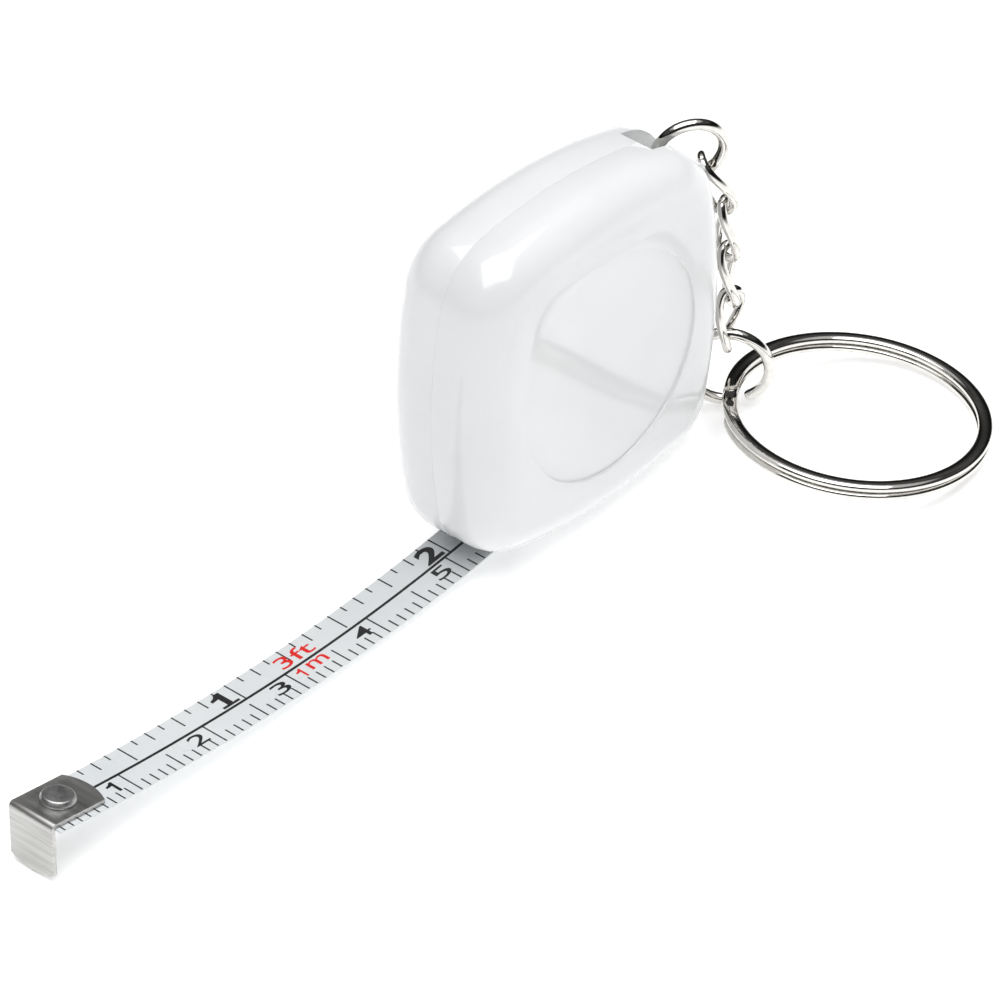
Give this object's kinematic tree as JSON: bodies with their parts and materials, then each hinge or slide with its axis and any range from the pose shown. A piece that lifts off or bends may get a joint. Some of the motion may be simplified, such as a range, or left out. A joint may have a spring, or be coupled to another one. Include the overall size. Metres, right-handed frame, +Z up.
{
  "type": "tape measure",
  "caption": "Small square key-ring tape measure with its steel tape drawn part way out, an end hook, a release button, a short chain and a split ring.",
  "frame": {"origin": "on the ground below the middle of the object's bounding box", "axes": "+X the way the tape comes out, +Y the left side, seen along the tape, +Z up"},
  "size_m": [0.0982, 0.0336, 0.0332],
  "materials": {
    "case_plastic": "gloss",
    "button_plastic": "gloss",
    "inner_plastic": "matt",
    "tape_enamel": "gloss enamel on spring steel",
    "hook_steel": "satin",
    "rivet_steel": "satin",
    "spring_steel": "blued",
    "axle_plastic": "matt",
    "brake_rubber": "matt",
    "ring_nickel": "polished nickel plate"
  },
  "bodies": {
    "case": {"left_shell": "case_plastic", "right_shell": "case_plastic", "spool_axle": "axle_plastic", "button_spring": "spring_steel"},
    "spool": {"spool_drum": "inner_plastic", "spring_cover": "inner_plastic", "power_spring": "spring_steel", "tape_coil": "tape_enamel"},
    "tape_end": {"tape_blade": "tape_enamel", "tape_hook": "hook_steel", "hook_rivet": "rivet_steel"},
    "button": {"release_button": "button_plastic", "brake_disc": "inner_plastic", "brake_pad": "brake_rubber", "stem_clip": "spring_steel"},
    "upper_ring": {"case_ring": "ring_nickel"},
    "link_1": {"chain_link_1": "ring_nickel"},
    "link_2": {"chain_link_2": "ring_nickel"},
    "link_3": {"chain_link_3": "ring_nickel"},
    "link_4": {"chain_link_4": "ring_nickel"},
    "lower_ring": {"end_ring": "ring_nickel"},
    "key_ring": {"split_ring": "ring_nickel"}
  },
  "joints": [
    {"name": "tape_slide", "type": "slide", "parent": "case", "child": "tape_end", "axis": [0.9984, 0, 0.0558], "range_m": [-0.044, 0], "deforming": ["tape_blade"]},
    {"name": "spool_spin", "type": "hinge", "parent": "case", "child": "spool", "pos_m": [-0.01549, -0.01068, 0.01674], "axis": [0, 1, 0], "range_deg": [-1, 185]},
    {"name": "button_press", "type": "slide", "parent": "case", "child": "button", "axis": [0, 1, 0], "range_m": [0, 0.0006], "stiffness_N_per_m": 800, "springref_m": -0.001, "deforming": ["button_spring"]},
    {"name": "upper_ring_swing", "type": "hinge", "parent": "case", "child": "upper_ring", "pos_m": [-0.03087, -0.01068, 0.02691], "axis": [0, 1, 0], "range_deg": [0, 18]},
    {"name": "link_1_swing", "type": "hinge", "parent": "upper_ring", "child": "link_1", "pos_m": [-0.03281, -0.00831, 0.02532], "axis": [-0.7088, 0.5439, 0.4493], "range_deg": [0, 5]},
    {"name": "link_2_swing", "type": "hinge", "parent": "link_1", "child": "link_2", "pos_m": [-0.03398, -0.00688, 0.02112], "axis": [-0.4815, 0.8084, 0.3385], "range_deg": [0, 10]},
    {"name": "link_3_swing", "type": "hinge", "parent": "link_2", "child": "link_3", "pos_m": [-0.03386, -0.00673, 0.01623], "axis": [-0.1564, 0.9862, 0.0542], "range_deg": [0, 10]},
    {"name": "link_4_swing", "type": "hinge", "parent": "link_3", "child": "link_4", "pos_m": [-0.03386, -0.00647, 0.01152], "axis": [0.2588, 0.9645, 0.0531], "range_deg": [0, 10]},
    {"name": "lower_ring_swing", "type": "hinge", "parent": "link_4", "child": "lower_ring", "pos_m": [-0.03334, -0.00673, 0.00682], "axis": [0.6295, 0.7765, 0.0288], "range_deg": [0, 10]},
    {"name": "key_ring_swing", "type": "hinge", "parent": "lower_ring", "child": "key_ring", "pos_m": [-0.03527, -0.00461, 0.0021], "axis": [-0.365, 0.5395, 0.7587], "range_deg": [-8, 8]}
  ],
  "couplings": [
    {"joint": "spool_spin", "follows": "tape_slide", "rad_per_m": -71.582}
  ]
}
